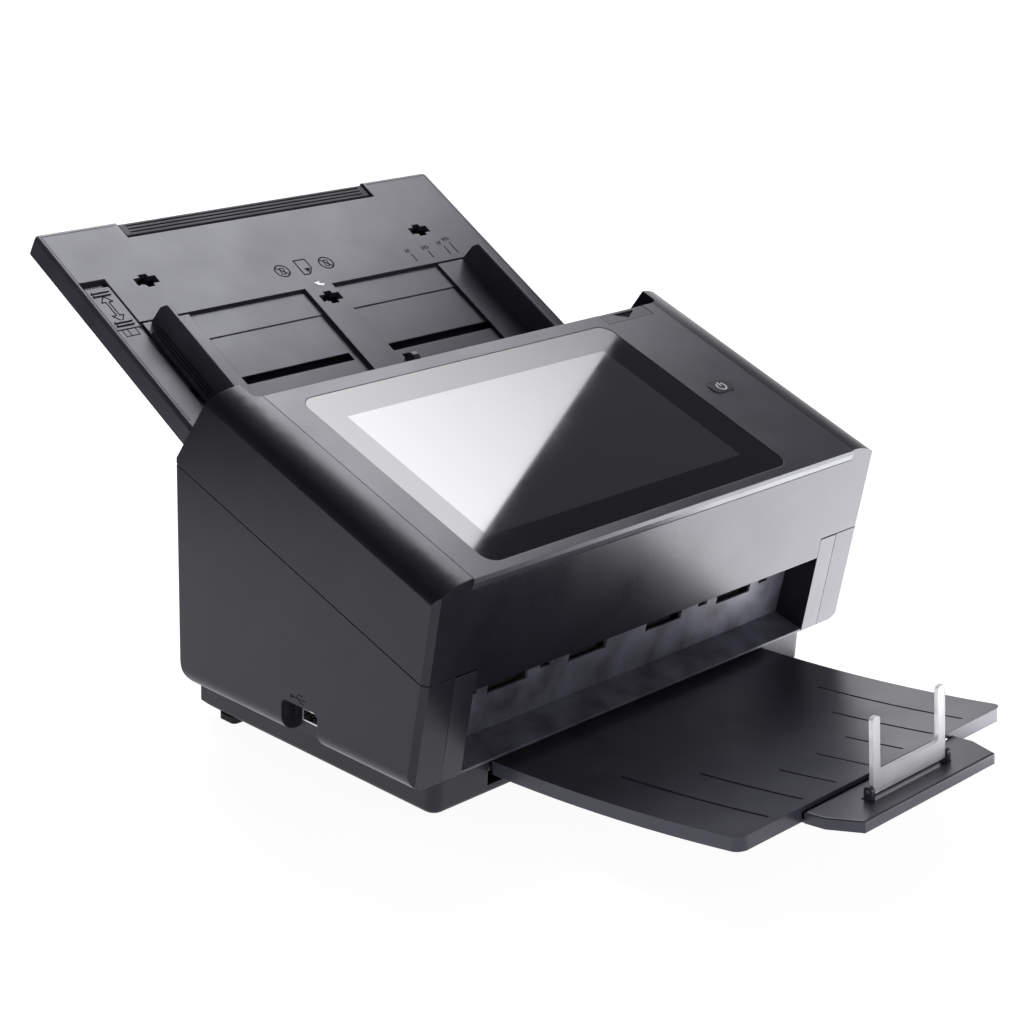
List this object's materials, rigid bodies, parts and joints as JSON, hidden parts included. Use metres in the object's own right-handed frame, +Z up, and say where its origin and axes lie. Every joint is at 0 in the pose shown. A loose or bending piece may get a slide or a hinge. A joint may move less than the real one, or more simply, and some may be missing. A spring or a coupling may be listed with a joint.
{
  "type": "document scanner",
  "caption": "Desktop sheet fed document scanner with a sloping touch screen, a rear sheet tray with side guides, and a sliding exit tray with a clear stop.",
  "frame": {"origin": "bottom centre of the whole object's box, on the surface that the rubber feet stand on", "axes": "+Z up, -Y towards the user and the exit tray, +X to the user's right"},
  "size_m": [0.316, 0.4756, 0.2183],
  "materials": {
    "housing": "satin moulded plastic with a fine grain",
    "trim": "fine grain plastic",
    "grip": "ribbed grained plastic",
    "bezel": "satin grey plastic",
    "base": "grained plastic",
    "liner": "fine grain plastic",
    "tray": "grained plastic",
    "exit_tray": "satin plastic",
    "button": "satin plastic",
    "screen_glass": "polished, backed in black",
    "display": "flat panel",
    "sensor_glass": "polished",
    "sensor_body": "moulded",
    "clear_plastic": "frosted clear plastic",
    "rubber": "matt",
    "steel": "turned",
    "frame_steel": "zinc plated sheet",
    "bush": "natural acetal",
    "gear_plastic": "natural acetal",
    "brass": "machined",
    "motor": "black lacquer",
    "circuit_board": "solder mask",
    "socket": "nickel plated shell"
  },
  "bodies": {
    "chassis": {"base_pan": "base", "rubber_feet": "rubber", "base_screws": "steel", "left_side_cover": "housing", "right_side_cover": "housing", "left_front_trim": "trim", "right_front_trim": "trim", "upper_hinge_pins": "steel", "rear_cover": "housing", "rear_sockets": "socket", "usb_host_port": "socket", "exit_cavity_liner": "liner", "left_frame_plate": "frame_steel", "right_frame_plate": "frame_steel", "roller_bushes": "bush", "lower_guide_plate": "liner", "lower_sensor_module": "sensor_body", "lower_sensor_glass": "sensor_glass", "drive_motor": "motor", "main_board": "circuit_board"},
    "upper_unit": {"upper_cover": "housing", "display_bezel": "bezel", "touch_glass": "screen_glass", "display_module": "display", "display_board": "circuit_board", "upper_guide_plate": "liner", "upper_sensor_module": "sensor_body", "upper_sensor_glass": "sensor_glass", "separation_bracket": "frame_steel"},
    "power_button": {"power_button": "button"},
    "release_button": {"release_button": "button"},
    "middle_gear": {"middle_gear": "gear_plastic"},
    "motor_pinion": {"motor_pinion": "brass"},
    "idler_gear": {"idler_gear": "gear_plastic"},
    "inlet_roller": {"inlet_shaft": "steel", "inlet_tyres": "rubber", "inlet_gear": "gear_plastic"},
    "outlet_roller": {"outlet_shaft": "steel", "outlet_tyres": "rubber", "outlet_gear": "gear_plastic"},
    "feed_roller": {"feed_shaft": "steel", "feed_tyres": "rubber", "feed_gear": "gear_plastic"},
    "separation_roller": {"separation_roller": "rubber"},
    "inlet_idlers": {"inlet_idlers": "bush"},
    "outlet_idlers": {"outlet_idlers": "bush"},
    "input_tray": {"input_tray_panel": "tray", "input_tray_back": "tray", "tray_screws": "steel"},
    "left_guide": {"left_guide": "tray"},
    "right_guide": {"right_guide": "tray"},
    "guide_pinion": {"guide_pinion": "gear_plastic"},
    "input_tray_extension": {"input_tray_extension": "grip"},
    "tray_lock_slider": {"tray_lock_slider": "tray"},
    "paper_flag": {"paper_flag": "tray"},
    "exit_carriage": {"exit_carriage": "base"},
    "exit_tray": {"exit_tray": "exit_tray"},
    "exit_extension": {"exit_tray_extension": "exit_tray", "paper_stop_pins": "steel"},
    "paper_stop": {"paper_stop": "clear_plastic"}
  },
  "joints": [
    {"name": "upper_unit_hinge", "type": "hinge", "parent": "chassis", "child": "upper_unit", "pos_m": [0, -0.07411, 0.0705], "axis": [1, 0, 0], "range_deg": [0, 60]},
    {"name": "power_button_press", "type": "slide", "parent": "upper_unit", "child": "power_button", "axis": [0, 0.3338, -0.9426], "range_m": [0, 0.001], "stiffness_N_per_m": 500},
    {"name": "release_button_press", "type": "slide", "parent": "upper_unit", "child": "release_button", "axis": [0, 0.3338, -0.9426], "range_m": [0, 0.0015], "stiffness_N_per_m": 600},
    {"name": "middle_gear_spin", "type": "hinge", "parent": "chassis", "child": "middle_gear", "pos_m": [0, -0.01321, 0.06807], "axis": [1, 0, 0], "continuous": true},
    {"name": "motor_spin", "type": "hinge", "parent": "chassis", "child": "motor_pinion", "pos_m": [0, 0.00607, 0.04509], "axis": [1, 0, 0], "continuous": true},
    {"name": "inlet_roller_spin", "type": "hinge", "parent": "chassis", "child": "inlet_roller", "pos_m": [0, 0.01796, 0.08607], "axis": [1, 0, 0], "continuous": true},
    {"name": "outlet_roller_spin", "type": "hinge", "parent": "chassis", "child": "outlet_roller", "pos_m": [0, -0.04439, 0.05007], "axis": [1, 0, 0], "continuous": true},
    {"name": "idler_gear_spin", "type": "hinge", "parent": "chassis", "child": "idler_gear", "pos_m": [0, 0.03355, 0.09507], "axis": [1, 0, 0], "continuous": true},
    {"name": "feed_roller_spin", "type": "hinge", "parent": "chassis", "child": "feed_roller", "pos_m": [0, 0.04914, 0.10407], "axis": [1, 0, 0], "continuous": true},
    {"name": "separation_roller_spin", "type": "hinge", "parent": "upper_unit", "child": "separation_roller", "pos_m": [0, 0.03932, 0.11907], "axis": [1, 0, 0], "continuous": true},
    {"name": "inlet_idlers_spin", "type": "hinge", "parent": "upper_unit", "child": "inlet_idlers", "pos_m": [0, 0.01076, 0.09854], "axis": [1, 0, 0], "continuous": true},
    {"name": "outlet_idlers_spin", "type": "hinge", "parent": "upper_unit", "child": "outlet_idlers", "pos_m": [0, -0.05159, 0.06254], "axis": [1, 0, 0], "continuous": true},
    {"name": "input_tray_fold", "type": "hinge", "parent": "chassis", "child": "input_tray", "pos_m": [0, 0.08551, 0.12507], "axis": [1, 0, 0], "range_deg": [0, 55]},
    {"name": "left_guide_slide", "type": "slide", "parent": "input_tray", "child": "left_guide", "axis": [1, 0, 0], "range_m": [0, 0.064]},
    {"name": "right_guide_slide", "type": "slide", "parent": "input_tray", "child": "right_guide", "axis": [-1, 0, 0], "range_m": [0, 0.0641]},
    {"name": "guide_pinion_turn", "type": "hinge", "parent": "input_tray", "child": "guide_pinion", "pos_m": [0, 0.13261, 0.1555], "axis": [0, -0.5, 0.866], "range_deg": [0, 612]},
    {"name": "tray_extension_slide", "type": "slide", "parent": "input_tray", "child": "input_tray_extension", "axis": [0, 0.866, 0.5], "range_m": [0, 0.06]},
    {"name": "tray_lock_slide", "type": "slide", "parent": "input_tray", "child": "tray_lock_slider", "axis": [0, 0.866, 0.5], "range_m": [0, 0.0045]},
    {"name": "paper_flag_tilt", "type": "hinge", "parent": "input_tray", "child": "paper_flag", "pos_m": [0, 0.10809, 0.13996], "axis": [-1, 0, 0], "range_deg": [0, 14], "stiffness_Nm_per_rad": 0.005, "springref_deg": -8.59},
    {"name": "exit_tray_slide", "type": "slide", "parent": "chassis", "child": "exit_carriage", "axis": [0, 1, 0], "range_m": [0, 0.132]},
    {"name": "exit_tray_level", "type": "hinge", "parent": "exit_carriage", "child": "exit_tray", "pos_m": [0, -0.05791, 0.015], "axis": [1, 0, 0], "range_deg": [0, 6.6]},
    {"name": "exit_extension_slide", "type": "slide", "parent": "exit_tray", "child": "exit_extension", "axis": [0, -0.9936, 0.1132], "range_m": [0, 0.06]},
    {"name": "paper_stop_fold", "type": "hinge", "parent": "exit_extension", "child": "paper_stop", "pos_m": [0, -0.22412, 0.04011], "axis": [-1, 0, 0], "range_deg": [0, 88]}
  ],
  "couplings": [
    {"joint": "motor_spin", "follows": "middle_gear_spin", "ratio": -4},
    {"joint": "inlet_roller_spin", "follows": "middle_gear_spin", "ratio": -2},
    {"joint": "outlet_roller_spin", "follows": "middle_gear_spin", "ratio": -2},
    {"joint": "idler_gear_spin", "follows": "middle_gear_spin", "ratio": 4},
    {"joint": "feed_roller_spin", "follows": "middle_gear_spin", "ratio": -2},
    {"joint": "right_guide_slide", "follows": "left_guide_slide", "ratio": 1},
    {"joint": "guide_pinion_turn", "follows": "left_guide_slide", "rad_per_m": 166.67},
    {"joint": "exit_tray_level", "follows": "exit_tray_slide", "rad_per_m": 0.85944}
  ]
}
